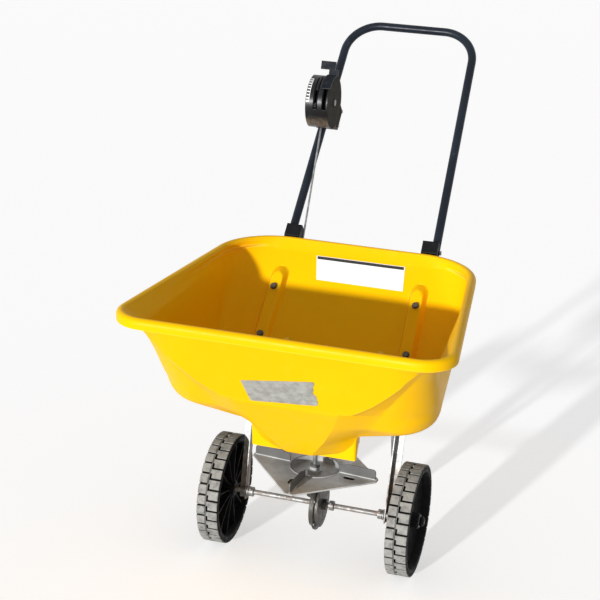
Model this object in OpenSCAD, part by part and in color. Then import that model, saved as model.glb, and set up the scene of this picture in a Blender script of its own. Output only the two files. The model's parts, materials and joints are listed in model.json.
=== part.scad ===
// Broadcast spreader: hopper on two wheels, a ground-driven impeller under it and a push handle.
// Millimetres. +X is to the right seen from the front, +Y is the rear and the ground is Z = 0.
// The origin is on the ground under the middle of the whole length. The working dimensions are
// taken from the axle, so every sub-part is drawn about it and then moved by place().

/* [Wheels and axle] */
// Radius of a wheel over its tread lugs
wheel_r = 101.6; // [95:0.1:110]
// Width of a tyre
wheel_w = 40; // [36:1:44]
// Distance between the middles of the two tyres
track = 348; // [340:1:360]
// Lugs in each of the two rows of the tread
lugs = 32; // [28:2:36]
// Height of a tread lug
lug_h = 6; // [4:0.5:7]
// Diameter of the axle rod
axle_d = 9.5; // [9:0.1:10]

/* [Hopper] */
// Height of the rim above the ground
rim_z = 530; // [520:1:540]
// Rim's front edge, ahead of the axle
rim_front = 295; // [290:0.5:300]
// Rim's rear edge, behind the axle
rim_rear = 223; // [220:0.5:226]
// Half width of the rim at its front
rim_half_front = 284; // [280:0.5:288]
// Half width of the rim at its rear
rim_half_rear = 242; // [238:0.5:246]
// Wall thickness
wall = 3; // [2.6:0.1:3.4]
// Height of the floor's underside, where the granules leave
outlet_z = 246; // [246:1:248]

/* [Handle] */
// Lean of the handle back from upright
lean = 43.4; // [42.5:0.1:44]
// Half spacing of the handle's legs beside the rim
leg_half_low = 138.9; // [137:0.1:141]
// Half spacing of the legs under the top bend
leg_half_high = 128.7; // [127:0.1:131]
// Length of a leg from the rim to the middle of the top bar
leg_len = 459; // [445:1:470]
// Radius of the top bends
bend_r = 66; // [55:1:70]
// Outside diameter of the tube
tube_d = 16; // [15.5:0.1:16]

/* [Spreading gear] */
// Teeth on the crown gear
crown_teeth = 48; // [48:48]
// Teeth on the pinion
pinion_teeth = 12; // [12:12]
// Height of the impeller's plate
impeller_z = 174; // [172:1:176]
// Distance from the impeller's shaft to a corner of its plate
impeller_r = 120; // [114:0.5:122]
// Travel of the shut-off gate
gate_travel = 15; // [12:1:15]

/* [Hidden] */
$fn = 48;

axle_r = axle_d / 2;
axle_z = wheel_r;
tube_r = tube_d / 2;
fit = 0.05;

// The leg's line passes this point beside the rim, and lies in a plane that leans back
leg_y = 264.45;
leg_z = 537.6;
leg_tilt = atan2(leg_half_low - leg_half_high, leg_len - bend_r);
handle_back = leg_y + leg_len * sin(lean) + tube_r;
y_mid = (handle_back - rim_front) / 2;

module place() { translate([0, -y_mid, 0]) children(); }

// Local frame of a handle leg: Z runs up the leg's plane and -Y faces the hopper's rear wall
module leg_frame(side) {
    translate([0, leg_y, leg_z]) rotate([-lean, 0, 0]) mirror([side < 0 ? 1 : 0, 0, 0]) children();
}
function leg_x(z) = leg_half_low - z * tan(leg_tilt);

// Rear wall, level with the handle's plane, and the channels that its ribs make
wall_gap = 24;
rib_depth = 15;
function wall_rear(z) = leg_y + (z - leg_z) * tan(lean) - wall_gap / cos(lean);
function leg_run(z) = (z - leg_z) / cos(lean);
bolt_runs = [-149, -245];
bolt_in = 9;

// HOPPER
// Outline measures by height: [height, measure]
half_front = [[246, 94], [290, 95], [300, 99], [345, 205], [353, 219], [366, 229], [400, 238], [512, 262]];
half_rear = [[246, 94], [300, 97], [345, 168], [366, 190], [400, 203], [512, 222]];
pocket_y = [[246, -96], [290, -101], [300, -108], [345, -172], [512, -279]];
belly_y = [[246, -97], [261, -102], [263, -125], [280, -141], [380, -218], [512, -280]];
belly_half = [[246, 30], [263, 30], [268, 44], [280, 59], [290, 71], [327, 97], [363, 126], [392, 152],
    [445, 190], [512, 214]];
panel_half = [[246, 14], [263, 14], [300, 46], [370, 84], [379, 98], [389, 110], [436, 158], [472, 190],
    [512, 208]];
corner_front = [[246, 10], [300, 14], [345, 40], [400, 50], [512, 45]];
corner_rear = [[246, 10], [300, 16], [345, 45], [400, 70], [512, 100]];
rib_grow = [[352, 0], [366, 1], [462, 1], [490, 0]];
rim_corner_front = 58;
rim_corner_rear = 116.5;
rib_half_out = 13;
rib_half_in = 18;

function rear_wall(z) = z > 345 ? wall_rear(z) : lookup(z, [[246, 30], [290, 31], [345, wall_rear(345)]]);
function arc(c, r, a0, a1, n) = [for (i = [0:n]) let (a = a0 + (a1 - a0) * i / n) c + r * [cos(a), sin(a)]];

// Rear edge of an outline at x: flat, then round the corner, and drawn in by the rib
function rear_edge(x, yb, hr, rr, rib, rx, half) =
    let (over = max(0, x - (hr - rr)), d = abs(x - rx))
    yb - (rr - sqrt(rr * rr - over * over)) - (d < half ? rib * pow(cos(90 * d / half), 2) : 0);

// Right half of an outline, from the front's middle round to the rear's middle
function half_outline(hf, hr, yf, yb, rf, rr, yc, w1, w2, rib, rx, half) =
    let (side = atan((hf - hr) / (yb - yf)), turn = acos((rx + 22 - (hr - rr)) / rr))
    concat(
        [for (f = [0.25, 0.65, 1]) [w1 * f, yc]],
        [[(w1 + w2) / 2, yc + (yf - yc) * 0.4], [w2, yf]],
        arc([hf - rf, yf + rf], rf, -90, side, 6),
        [[(hf + hr) / 2, (yf + yb) / 2]],
        arc([hr - rr, yb - rr], rr, side, turn, 4),
        [for (d = [18, 13, 9, 5, 0, -5, -9, -13, -18])
            [rx + d, rear_edge(rx + d, yb, hr, rr, rib, rx, half)]],
        [[rx * 0.45, yb]]);
function mirror_outline(p) = concat(p, [for (i = [len(p) - 1:-1:0]) [-p[i][0], p[i][1]]]);

// Outline of the wall at station z, drawn in by inset
function wall_ring(z, inset) =
    let (hf = lookup(z, half_front) - inset, hr = lookup(z, half_rear) - inset,
         rr = lookup(z, corner_rear) - inset, rx = min(leg_x(leg_run(z)) - bolt_in, hr - 0.4 * rr - 22),
         yf = lookup(z, pocket_y) + inset)
    mirror_outline(half_outline(hf, hr, yf, rear_wall(z) - inset, lookup(z, corner_front) - inset, rr,
        min(lookup(z, belly_y) + inset, yf - 0.4), lookup(z, panel_half) - 0.3 * inset,
        lookup(z, belly_half) - 0.3 * inset, lookup(z, rib_grow) * rib_depth / cos(lean), rx,
        inset > 0 ? rib_half_in : rib_half_out));

// Outline of the rolled rim, drawn in by inset
function rim_ring(inset) =
    let (yf = inset - rim_front, hr = rim_half_rear - inset, rr = rim_corner_rear - inset)
    mirror_outline(half_outline(rim_half_front - inset, hr, yf, rim_rear - inset,
        rim_corner_front - inset, rr, yf, 208, 214, 0, leg_half_low - bolt_in, rib_half_out));

function lift(ring, z) = [for (p = ring) [p[0], p[1], z]];
outer_stations = [246, 261, 263.5, 280, 300, 322, 345, 353, 366, 389, 415, 450, 475, 492, 508];
inner_stations = [508, 492, 450, 415, 389, 366, 345, 322, 300, 280, 263.5, 261, 246];
rim_stations = [[16, 515], [9, 518.5], [4, 517.5], [3, 513], [0.4, 512.5], [0, 521], [1.6, 526.4],
    [5.5, 529.4], [9.5, 530], [13, 528.6], [15.5, 524.5]];
rise = 1.05 * wall;
inset_in = 0.95 * wall;

module hopper_shell() {
    rings = concat(
        [for (z = outer_stations) lift(wall_ring(z, 0), z + outlet_z - 246)],
        [for (s = rim_stations) lift(rim_ring(s[0]), s[1] + rim_z - 530)],
        [for (z = inner_stations) lift(wall_ring(z, inset_in), z + rise + outlet_z - 246)]);
    n = len(rings[0]);
    m = len(rings);
    under = [0, -28, outlet_z];
    polyhedron(
        points = concat([for (r = rings) each r], [under, under + [0, 0, rise]]),
        faces = concat(
            [for (j = [0:n - 1]) [m * n, j, (j + 1) % n]],
            [for (i = [0:m - 2], j = [0:n - 1]) [i * n + j, (i + 1) * n + j, (i + 1) * n + (j + 1) % n]],
            [for (i = [0:m - 2], j = [0:n - 1]) [i * n + j, (i + 1) * n + (j + 1) % n, i * n + (j + 1) % n]],
            [for (j = [0:n - 1]) [m * n + 1, (m - 1) * n + (j + 1) % n, (m - 1) * n + j]]));
}

// Bolt line through the rear wall at a run along the leg
module on_bolt(side, run) {
    leg_axis(side) translate([-bolt_in, 0, run]) rotate([90, 0, 0]) children();
}
module leg_axis(side) {
    leg_frame(side) translate([leg_half_low, 0, 0]) rotate([0, -leg_tilt, 0]) children();
}

shaft_x = -4;
shaft_r = 4;
port_w = 30;
port_l = 11;
port_y = -34;
port_gap = 34;
guide_in = 61;
guide_y = [-70, 10];
screw_x = 67;
screw_y = [-58, -4];
stand_x = 88;
stand_run = -246;

module hopper() color("gold") place() difference() {
    hopper_shell();
    for (side = [-1, 1], run = bolt_runs) on_bolt(side, run) translate([0, 0, 20]) cylinder(r = 3.3, h = 30);
    for (s = [-1, 1]) at_stand(s * stand_x) translate([0, 0, 20]) cylinder(r = 3.3, h = 30);
    translate([shaft_x, 0, outlet_z - 1]) cylinder(r = shaft_r + fit, h = 6);
    for (s = [-1, 1]) translate([shaft_x + s * port_gap - port_w / 2, port_y - port_l / 2, outlet_z - 1])
        cube([port_w, port_l, 6]);
    for (s = [-1, 1], y = screw_y) translate([s * screw_x, y, outlet_z - 1]) cylinder(r = 2, h = 6);
}

module hex_nut(r, nut_r, h) {
    difference() {
        cylinder(r = nut_r, h = h, $fn = 6);
        translate([0, 0, -1]) cylinder(r = r, h = h + 2);
    }
}

// Inner crest of a rib, from the leg's middle plane
wall_in = wall_gap + inset_in * cos(lean) + rise * sin(lean);
crest = wall_in + rib_depth;
strut_t = 2.4;
module hopper_bolts() color("dimgray") place() for (side = [-1, 1], run = bolt_runs)
    on_bolt(side, run) {
        translate([0, 0, wall_gap - strut_t - 8]) cylinder(r = 3, h = crest - wall_gap + strut_t + 8.4);
        translate([0, 0, crest + 0.4]) cylinder(r = 6.4, h = 1.2);
        translate([0, 0, crest + 1.6]) cylinder(r = 5.2, h = 4, $fn = 6);
    }

// OUTLET
gate_t = 3.6;
gate_top = outlet_z - 0.3;
module outlet_guides() color("black") place() for (s = [-1, 1]) difference() {
    translate([0, guide_y[0], outlet_z - 10]) mirror([s < 0 ? 1 : 0, 0, 0]) {
        translate([guide_in, 0, 0]) cube([12, guide_y[1] - guide_y[0], 10]);
        translate([guide_in - 6, 0, 0]) cube([8, guide_y[1] - guide_y[0], 9.1 - gate_t]);
    }
    for (y = screw_y) translate([s * screw_x, y, outlet_z - 12]) cylinder(r = 2, h = 20);
}
module guide_screws() color("silver") place() for (s = [-1, 1], y = screw_y)
    translate([s * screw_x, y, outlet_z - 10]) {
        cylinder(r = 2, h = 10 + rise);
        difference() {
            translate([0, 0, -2.2]) cylinder(r = 3.6, h = 2.2);
            translate([-4, -0.5, -2.4]) cube([8, 1, 1]);
        }
    }
module gate_deflector() color("black") place() difference() {
    translate([-guide_in - 12, guide_y[1], outlet_z - 34]) cube([2 * guide_in + 24, 2.4, 29.5]);
    for (s = [-1, 1]) translate([s * (guide_in + 12), guide_y[1] - 1, outlet_z - 34])
        rotate([0, s * 45, 0]) translate([-12, 0, -12]) cube([24, 5, 24]);
}

// Line of the control rod in the left leg's frame: past the bracket and up to the lever's pin
rod_low = [116.5, 0, -12];
lever_x = 132;
lever_c = [lever_x, -48, 246];
pin_arm = 26;
rod_r = 1.8;
rod_dir = ([lever_x, -24.5, 246] - rod_low) / norm([lever_x, -24.5, 246] - rod_low);
// From the left leg's frame to the axle's frame
function left_dir(d) = [-d[0], d[1] * cos(lean) + d[2] * sin(lean), -d[1] * sin(lean) + d[2] * cos(lean)];
function left_point(p) = left_dir(p) + [0, leg_y, leg_z];
rod_slide = left_dir(rod_dir);
rod_travel = gate_travel / rod_slide[1];
half_swing = asin(rod_travel / 2 / pin_arm);
tail_z = outlet_z + 14;
rod_down = (left_point(rod_low)[2] - tail_z) / rod_slide[2];
rod_end = left_point(rod_low) - rod_slide * rod_down;
ear_x = rod_end[0] + 6;
ear_t = 2.4;
ear_rise = gate_travel * rod_slide[2] / rod_slide[1];

module gate() color("dimgray") place() {
    difference() {
        union() {
            translate([-guide_in + 0.4, -64, gate_top - gate_t]) cube([2 * guide_in - 0.8, 84, gate_t]);
            translate([ear_x, 14, gate_top - gate_t]) cube([-ear_x - 30, 14, gate_t]);
            translate([ear_x, 14, gate_top - gate_t]) cube([14, rod_end[1] - 6, gate_t]);
        }
        for (s = [-1, 1]) translate([shaft_x + s * port_gap - port_w / 2,
            port_y - gate_travel - port_l / 2, gate_top - 6]) cube([port_w, port_l, 8]);
        for (y = [-gate_travel, 0]) translate([shaft_x, y, gate_top - 6])
            cylinder(r = shaft_r + 1.5, h = 8);
        translate([shaft_x - shaft_r - 1.5, -gate_travel, gate_top - 6])
            cube([2 * shaft_r + 3, gate_travel, 8]);
    }
    difference() {
        translate([ear_x, rod_end[1] - 8, gate_top - gate_t])
            cube([ear_t, 16, tail_z + ear_rise + 8 - gate_top + gate_t]);
        translate([ear_x - 1, rod_end[1] - rod_r - 0.4, tail_z - rod_r - 0.5])
            cube([ear_t + 2, 2 * rod_r + 0.8, ear_rise + 2 * rod_r + 1]);
    }
}

// SPREADING GEAR
module_mm = 1.3;
crown_r = crown_teeth * module_mm / 2;
pinion_r = pinion_teeth * module_mm / 2;
crown_pitch_x = shaft_x + pinion_r;
crown_root_x = crown_pitch_x + 1.6;
tooth_half = 0.18 * PI * module_mm;
gear_z = axle_z + crown_r;
face_w = 6;
case_x = [-1, 15];
case_split = 7;
case_r = 42;
flange_r = 48;
flange_t = 1.6;
flange_screw = 45.2;
cavity_x = [1.6, 13];
neck_r = 13;
neck_top = 158;

module on_axle(x) { translate([x, 0, axle_z]) rotate([0, 90, 0]) children(); }

// Teeth stand out of the left face, in line with the axle
module crown_gear() color("white") place() {
    difference() {
        union() {
            on_axle(crown_root_x) cylinder(r = crown_r + 5, h = 3.4);
            on_axle(crown_root_x) cylinder(r = 11, h = 7.2);
        }
        on_axle(0) cylinder(r = axle_r, h = 30);
    }
    for (i = [0:crown_teeth - 1]) translate([0, 0, axle_z]) rotate([(i + 0.5) * 360 / crown_teeth, 0, 0])
        translate([crown_root_x, 0, crown_r - face_w / 2]) rotate([0, 0, 180]) linear_extrude(face_w)
            polygon([[-0.5, -tooth_half * 1.35], [0, -tooth_half * 1.35], [2.6, -tooth_half * 0.5],
                [2.6, tooth_half * 0.5], [0, tooth_half * 1.35], [-0.5, tooth_half * 1.35]]);
}

module pinion() color("white") place() translate([shaft_x, 0, gear_z - 4.6]) difference() {
    union() {
        cylinder(r = pinion_r - 1.5, h = 9.2);
        for (i = [0:pinion_teeth - 1]) rotate([0, 0, i * 360 / pinion_teeth])
            translate([pinion_r, 0, 0]) linear_extrude(9.2)
                polygon([[-2.2, -tooth_half * 1.4], [-1.5, -tooth_half * 1.35], [1, -tooth_half * 0.5],
                    [1, tooth_half * 0.5], [-1.5, tooth_half * 1.35], [-2.2, tooth_half * 1.4]]);
    }
    translate([0, 0, -1]) cylinder(r = shaft_r, h = 12);
}

module impeller_shaft() color("silver") place() translate([shaft_x, 0, gear_z - 8]) difference() {
    cylinder(r = shaft_r, h = 276 - gear_z + 8);
    translate([-10, 0, 264 - gear_z + 8]) rotate([0, 90, 0]) cylinder(r = 1.6, h = 20);
}

agitator_r = 20;
module agitator() color("silver") place() translate([shaft_x, 0, 264])
    rod_path([[-agitator_r, 0, 14], [-agitator_r, 0, 0], [agitator_r, 0, 0], [agitator_r, 0, 14]], 1.6, 5);

// Square plate that is level and turns on the shaft, dished in the middle, with a fin at each corner
fin_h = 19;
plate_t = 3;
corner_a = -96;
well_r = 44;
well_d = 9;
fin_in = well_r + 4;
module impeller() color("silver") place() translate([shaft_x, 0, impeller_z]) {
    difference() {
        union() {
            translate([0, 0, -plate_t]) intersection() {
                rotate([0, 0, corner_a]) cylinder(r = impeller_r + 6, h = plate_t, $fn = 4);
                cylinder(r = impeller_r, h = plate_t);
            }
            translate([0, 0, -well_d - plate_t]) cylinder(r = well_r + plate_t, h = well_d + plate_t);
            cylinder(r = well_r + 1.5, h = 2);
        }
        translate([0, 0, -well_d]) cylinder(r = well_r, h = 30);
        translate([0, 0, -20]) cylinder(r = shaft_r, h = 40);
        for (i = [0:3]) rotate([0, 0, corner_a + 90 * i]) {
            translate([66, -15, -5]) cylinder(r = 5, h = 10);
            translate([78, -15, -5]) cylinder(r = 5, h = 10);
            translate([66, -20, -5]) cube([12, 10, 10]);
        }
    }
    difference() {
        translate([0, 0, -well_d - plate_t]) union() {
            cylinder(r = 13, h = 8);
            cylinder(r = 9, h = well_d + plate_t + 6);
        }
        translate([0, 0, -20]) cylinder(r = shaft_r, h = 40);
    }
    for (i = [0:3]) rotate([0, 0, corner_a + 90 * i]) difference() {
        translate([fin_in, -1.2, -0.5]) cube([impeller_r - fin_in - 3, 2.4, fin_h + 0.5]);
        translate([fin_in, 0, fin_h + 26]) rotate([90, 0, 0]) cylinder(r = 30, h = 6, center = true);
        translate([impeller_r - 9, -3, fin_h - 6]) difference() {
            cube([12, 6, 12]);
            translate([0, -1, 0]) rotate([-90, 0, 0]) cylinder(r = 6, h = 8);
        }
    }
}

flange_angles = [30, 150, 210, 270, 330];
module at_flange(x) {
    for (a = flange_angles) translate([x, flange_screw * cos(a), axle_z + flange_screw * sin(a)])
        rotate([0, 90, 0]) children();
}
module gear_case_left() color("silver") place() difference() {
    union() {
        on_axle(case_x[0]) cylinder(r = case_r, h = case_split - case_x[0]);
        on_axle(case_split - flange_t) cylinder(r = flange_r, h = flange_t);
        on_axle(-9) cylinder(r = 10, h = 9);
        translate([shaft_x, 0, 117]) cylinder(r = neck_r, h = neck_top - 117);
    }
    on_axle(cavity_x[0]) cylinder(r = 38, h = 20);
    translate([shaft_x, 0, 123]) cylinder(r = 10, h = gear_z + 7 - 123);
    translate([shaft_x, 0, 123]) cylinder(r = shaft_r + fit, h = 60);
    on_axle(-10) cylinder(r = axle_r + fit, h = 30);
    at_flange(0) cylinder(r = 1.4, h = 20);
}
module gear_case_right() color("gray") place() difference() {
    union() {
        on_axle(case_split) cylinder(r = case_r, h = case_x[1] - case_split);
        on_axle(case_split) cylinder(r = flange_r, h = flange_t);
        on_axle(case_x[1] - 1) cylinder(r = 10, h = 8);
    }
    on_axle(0) cylinder(r = 38, h = cavity_x[1]);
    translate([shaft_x, 0, 117]) cylinder(r = neck_r, h = 60);
    on_axle(0) cylinder(r = axle_r + fit, h = 30);
    at_flange(0) cylinder(r = 1.4, h = 20);
}
module gear_case_screws() color("silver") place() {
    at_flange(case_split - flange_t - 1.4) cylinder(r = 1.4, h = 2 * flange_t + 1.4);
    at_flange(case_split - flange_t - 1.4) hex_nut(1.4, 2.6, 1.4);
    at_flange(case_split + flange_t) cylinder(r = 2.6, h = 1.4);
}

// WHEELS AND AXLE
hub_l = 40;
hub_r = 15;
tread_r = wheel_r - lug_h;
strut_low = 131;
bush_r = 6.8;
washer_x = track / 2 + hub_l / 2;
module axle() color("saddlebrown") place() difference() {
    on_axle(-washer_x - 7) cylinder(r = axle_r, h = 2 * washer_x + 14);
    drive_hole();
}
module drive_hole() {
    translate([track / 2 - 15, 0, axle_z - 30]) cylinder(r = 2, h = 60);
}
module wheel(side, bore) {
    translate([side * track / 2, 0, axle_z]) rotate([0, side * 90, 0]) difference() {
        union() {
            rotate_extrude() polygon([[2, -hub_l / 2], [hub_r, -hub_l / 2], [hub_r + 1, -4], [58, -8],
                [87, -5], [89, 1 - wheel_w / 2], [90, -wheel_w / 2], [tread_r, -wheel_w / 2],
                [tread_r, wheel_w / 2], [90, wheel_w / 2], [89, wheel_w / 2 - 1], [88, -2], [58, -5],
                [hub_r + 1, -1], [hub_r, hub_l / 2], [2, hub_l / 2]]);
            for (i = [0:7]) rotate([0, 0, i * 45 + 22.5]) translate([hub_r - 1, -1.5, -13])
                cube([89 - hub_r + 1, 3, 9]);
            intersection() {
                translate([0, 0, -wheel_w / 2]) cylinder(r = wheel_r, h = wheel_w);
                for (row = [0, 1], i = [0:lugs - 1]) rotate([0, 0, (i + row / 2) * 360 / lugs])
                    translate([tread_r - 1, -lug_w / 2, row == 0 ? 1 - wheel_w / 2 : 1])
                        cube([lug_h + 3, lug_w, wheel_w / 2 - 2]);
            }
        }
        translate([0, 0, -hub_l]) cylinder(r = bore, h = 2 * hub_l);
    }
}
lug_w = 0.62 * 2 * PI * wheel_r / lugs;
module drive_wheel() color("black") place() difference() {
    wheel(1, axle_r);
    drive_hole();
}
module drive_pin() color("silver") place() translate([track / 2 - 15, 0, axle_z - hub_r - 3])
    cylinder(r = 2, h = 2 * hub_r + 6);
module free_wheel() color("black") place() wheel(-1, axle_r + fit);
module wheel_washers() color("silver") place() for (s = [-1, 1])
    translate([s * (washer_x + (s < 0 ? 1.3 : 0.3)), 0, 0]) difference() {
        on_axle(0) cylinder(r = 11, h = 1);
        on_axle(-1) cylinder(r = axle_r, h = 3);
    }
module wheel_caps() color("black") place() for (s = [-1, 1])
    translate([s * (washer_x + 1.3), 0, axle_z]) rotate([0, s * 90, 0]) difference() {
        union() {
            cylinder(r = 9, h = 5);
            translate([0, 0, 5]) cylinder(r1 = 9, r2 = 6, h = 3);
        }
        translate([0, 0, -1]) cylinder(r = axle_r, h = 6.7);
    }
module axle_bushings() color("saddlebrown") place() for (s = [-1, 1]) mirror([s < 0 ? 1 : 0, 0, 0])
    difference() {
        union() {
            on_axle(strut_low - 3.6) cylinder(r = bush_r, h = 12);
            on_axle(strut_low - 3.6) cylinder(r = 10, h = 2.6);
        }
        on_axle(0) cylinder(r = axle_r + fit, h = 200);
    }
module axle_collars() color("saddlebrown") place() for (x = [4.6 - strut_low, 27, strut_low - 12.6])
    difference() {
        union() {
            on_axle(x) cylinder(r = 9, h = 8);
            translate([x + 4, 0, axle_z]) rotate([50, 0, 0]) cylinder(r = 2, h = 12);
        }
        on_axle(-200) cylinder(r = axle_r, h = 400);
    }

// FRAME
strut_w = 16;
strut_run = -262;
strut_top = [135, leg_y - 7.6 - (wall_gap - strut_t / 2) * cos(lean) + strut_run * sin(lean),
    leg_z + (wall_gap - strut_t / 2) * sin(lean) + strut_run * cos(lean)];
strut_vec = strut_top - [strut_low, 0, axle_z];
strut_back = atan2(strut_vec[1], strut_vec[2]);
strut_out = atan2(strut_vec[0], norm([strut_vec[1], strut_vec[2]]));
module strut(side) mirror([side < 0 ? 1 : 0, 0, 0]) difference() {
    union() {
        translate([strut_low, 0, axle_z]) rotate([-strut_back, 0, 0]) rotate([0, strut_out, 0]) {
            translate([0, -9, -14]) cube([2, 18, norm(strut_vec) - 8]);
            translate([0, 7, -14]) cube([strut_w, 2, norm(strut_vec) + 17]);
        }
        leg_axis(1) translate([-18, -wall_gap, strut_run - 3]) cube([26, strut_t, -59 - strut_run]);
    }
    on_axle(0) cylinder(r = bush_r, h = 200);
    for (run = bolt_runs) on_bolt(1, run) cylinder(r = 3, h = 60);
    leg_axis(1) translate([0, 0, foot_run]) rotate([90, 0, 0]) cylinder(r = 3, h = 60);
}
module strut_left() color("lightgray") place() strut(-1);
module strut_right() color("lightgray") place() strut(1);
module strut_nuts() color("dimgray") place() for (side = [-1, 1], run = bolt_runs)
    on_bolt(side, run) translate([0, 0, wall_gap - strut_t - 4.6]) hex_nut(3, 5.6, 4.6);

// Rod or, with a bore, tube through the points p, with radius r and bends of radius bend
function unit(v) = v / norm(v);
function trim(p, i, bend) = i == 0 || i == len(p) - 1 ? 0
    : bend * tan(acos(unit(p[i] - p[i - 1]) * unit(p[i + 1] - p[i])) / 2);
// The straights lap over the bends, which are a hair thinner
lap = 0.3;
hair = 0.03;
module rod_path(p, r, bend, bore = 0) {
    for (i = [0:len(p) - 2]) {
        d = unit(p[i + 1] - p[i]);
        start = trim(p, i, bend) - (i > 0 ? lap : 0);
        h = norm(p[i + 1] - p[i]) - start - trim(p, i + 1, bend) + (i < len(p) - 2 ? lap : 0);
        translate(p[i] + d * start) rotate([0, acos(d[2]), atan2(d[1], d[0])]) difference() {
            cylinder(r = r, h = h);
            if (bore > 0) translate([0, 0, -1]) cylinder(r = bore, h = h + 2);
        }
    }
    for (i = [1:len(p) - 2]) {
        u = unit(p[i] - p[i - 1]);
        v = unit(p[i + 1] - p[i]);
        n = unit(cross(u, v));
        e = cross(u, n);
        c = p[i] - u * trim(p, i, bend) - e * bend;
        multmatrix([[e[0], u[0], n[0], c[0]], [e[1], u[1], n[1], c[1]], [e[2], u[2], n[2], c[2]]])
            rotate_extrude(angle = acos(u * v)) translate([bend, 0]) difference() {
                circle(r = r - hair);
                if (bore > 0) circle(r = bore + hair);
            }
    }
}

stand_r = 6.35;
stand_half = 112;
foot_x = 90;
foot_y = 262;
stand_up = [0, leg_y - (wall_gap - stand_r) * cos(lean) + stand_run * sin(lean),
    leg_z + (wall_gap - stand_r) * sin(lean) + stand_run * cos(lean)];
function stand_point(s, z) = let (t = (stand_up[2] - z) / stand_up[2])
    [s * (stand_half + (foot_x - stand_half) * t), stand_up[1] + (foot_y - stand_up[1]) * t, z];
// Line through the crossbar and the rear wall at x, pointing into the hopper
module at_stand(x) {
    translate([x, leg_y + stand_run * sin(lean), leg_z + stand_run * cos(lean)]) rotate([90 - lean, 0, 0])
        children();
}
module stand() color("silver") place() difference() {
    rod_path([stand_point(-1, 4), stand_point(-1, stand_up[2]), stand_point(1, stand_up[2]),
        stand_point(1, 4)], stand_r, 20);
    for (s = [-1, 1]) at_stand(s * stand_x) cylinder(r = 3, h = 30);
}
module stand_bolts() color("dimgray") place() for (s = [-1, 1]) at_stand(s * stand_x) {
    translate([0, 0, wall_gap - 2 * stand_r - 7]) cylinder(r = 3, h = wall_in - wall_gap + 2 * stand_r + 7.1);
    translate([0, 0, wall_in + 0.1]) cylinder(r = 6, h = 4);
    translate([0, 0, wall_gap - 2 * stand_r - 4]) hex_nut(3, 5.6, 4);
}
module stand_feet() color("black") place() for (s = [-1, 1]) difference() {
    translate([s * foot_x, foot_y - 1.5, 0]) cylinder(r = 12, h = 16);
    rod_path([stand_point(-1, 4), stand_point(-1, 200)], stand_r, 20);
    rod_path([stand_point(1, 4), stand_point(1, 200)], stand_r, 20);
}

// HANDLE
leg_end = -75;
foot_run = -70;
handle_line = [[-leg_x(leg_end), 0, leg_end], [-leg_x(leg_len), 0, leg_len], [leg_x(leg_len), 0, leg_len],
    [leg_x(leg_end), 0, leg_end]];
cross_run = -20;
module cross_screw() {
    translate([-15, 0, cross_run]) rotate([0, 90, 0]) cylinder(r = 2.5, h = 15.02 + tube_r);
}
module handle() color("midnightblue") place() difference() {
    leg_frame(1) rod_path(handle_line, tube_r, bend_r, tube_r - 1.5);
    for (s = [-1, 1]) leg_axis(s) {
        translate([0, 0, foot_run]) rotate([90, 0, 0]) cylinder(r = 3, h = 60, center = true);
        cross_screw();
    }
}
// Block that wraps a leg's foot and hooks over the rim
module handle_bracket(side) difference() {
    leg_axis(side) difference() {
        translate([-22.7, 0, 0]) rotate([90, 0, 90]) linear_extrude(29.7) polygon([[-22, -31], [-12, -42.5],
            [-12, -49.5], [-20, -58], [-21.6, -60], [-21.6, -80], [3, -80], [3, -8], [-22, -8]]);
        translate([0, 0, -90]) cylinder(r = tube_r, h = 120);
        translate([0, 0, foot_run]) rotate([90, 0, 0]) cylinder(r = 3, h = 60, center = true);
        cross_screw();
    }
    if (side < 0) leg_frame(-1) rod_hole(rod_r + 0.4, 60);
}
module rod_hole(r, reach) {
    translate(rod_low) rotate([0, acos(rod_dir[2]), atan2(rod_dir[1], rod_dir[0])])
        cylinder(r = r, h = 2 * reach, center = true);
}
module handle_bracket_left() color("black") place() handle_bracket(-1);
module handle_bracket_right() color("black") place() handle_bracket(1);
module handle_bolts() color("dimgray") place() for (s = [-1, 1]) leg_axis(s) {
    translate([0, 0, foot_run]) rotate([90, 0, 0]) {
        translate([0, 0, -tube_r - 1]) cylinder(r = 3, h = tube_r + 1 + wall_gap);
        translate([0, 0, -tube_r - 4]) cylinder(r = 5.2, h = 4, $fn = 6);
    }
    cross_screw();
    translate([tube_r + 0.02, 0, cross_run]) rotate([0, 90, 0]) cylinder(r = 4.5, h = 3, $fn = 6);
}

// CONSOLE: a flat drum on the left leg, with its axis across the machine
drum_r = 50;
drum_x = [107.5, 151.5];
split_x = 128.6;
shell = 2.4;
lever_px = [113.6, 116.6];
lever_hub = [113.3, 130.4];
arm_px = [124.4, 127.4];
lever_rest = 28;
pointer_px = [130.8, 133.8];
pointer_rest = 130;
pointer_r = drum_r - shell;
module at_drum() { leg_frame(-1) translate([0, lever_c[1], lever_c[2]]) children(); }
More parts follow.
